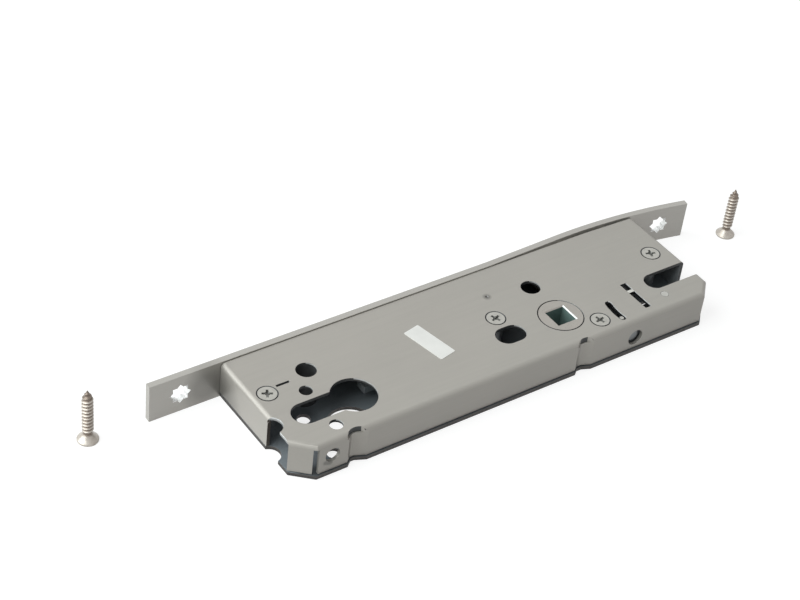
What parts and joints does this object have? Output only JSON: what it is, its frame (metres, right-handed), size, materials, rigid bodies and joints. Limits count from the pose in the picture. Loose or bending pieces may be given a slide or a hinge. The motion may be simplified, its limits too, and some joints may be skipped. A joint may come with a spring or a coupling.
{
  "type": "mortice door lock",
  "caption": "Narrow mortice door lock for a profile cylinder: pressed steel case with follower, bevelled latch, dead bolt, long forend and loose fixing screws.",
  "frame": {"origin": "on the cylinder's axis, at the underside of the back plate", "axes": "+X along the case from the cylinder to the follower, +Y out through the forend, +Z along the cylinder, from the back plate to the cover"},
  "size_m": [0.2902, 0.059, 0.0227],
  "materials": {
    "zinc_plate": "satin zinc-plated sheet steel, fine rolled grain",
    "forend_steel": "brushed stainless steel, grain along the strip",
    "inner_steel": "plain bright steel with an oil film",
    "bright_zinc": "bright zinc-plated steel",
    "cast_zinc": "nickel-plated zinc casting, satin",
    "spring_steel": "blued spring steel",
    "label": "matt white sticker, blank"
  },
  "bodies": {
    "case": {"base_plate": "zinc_plate", "case_tray": "zinc_plate", "forend": "forend_steel", "forend_screws": "bright_zinc", "case_screws": "bright_zinc", "pillars": "inner_steel", "label": "label", "follower_spring": "spring_steel", "latch_guide": "inner_steel", "lever_pivot": "inner_steel", "guide_studs": "inner_steel", "detent_spring": "spring_steel", "spring_posts": "inner_steel", "plate_sleeve": "inner_steel", "fixing_screw_left": "bright_zinc", "fixing_screw_right": "bright_zinc"},
    "follower": {"follower": "cast_zinc", "drive_pin": "bright_zinc"},
    "carriage": {"latch_carriage": "inner_steel", "latch_spring": "spring_steel"},
    "latch": {"latch_bolt": "cast_zinc", "latch_rod": "bright_zinc", "rod_pin": "bright_zinc"},
    "lever": {"swing_lever": "inner_steel", "lever_pin": "bright_zinc"},
    "dead_bolt": {"deadbolt": "cast_zinc", "deadbolt_tail": "inner_steel", "deadbolt_rivets": "inner_steel"}
  },
  "joints": [
    {"name": "follower_turn", "type": "hinge", "parent": "case", "child": "follower", "pos_m": [0.092, 0, 0.0075], "axis": [0, 0, 1], "range_deg": [0, 24], "deforming": ["follower_spring"]},
    {"name": "carriage_slide", "type": "slide", "parent": "case", "child": "carriage", "axis": [0, 1, 0], "range_m": [0, 0.00831]},
    {"name": "lever_swing", "type": "hinge", "parent": "case", "child": "lever", "pos_m": [0.1356, -0.0087, 0.0116], "axis": [0, 0, 1], "range_deg": [-20.2, 0]},
    {"name": "latch_press", "type": "slide", "parent": "carriage", "child": "latch", "axis": [0, 1, 0], "range_m": [-0.008, 0], "stiffness_N_per_m": 250, "springref_m": 0.004, "deforming": ["latch_spring"]},
    {"name": "deadbolt_slide", "type": "slide", "parent": "case", "child": "dead_bolt", "axis": [0, 1, 0], "range_m": [0, 0.014], "deforming": ["detent_spring"]}
  ],
  "couplings": [
    {"joint": "follower_turn", "follows": "carriage_slide", "rad_per_m": 50.367},
    {"joint": "lever_swing", "follows": "carriage_slide", "rad_per_m": -42.284}
  ]
}
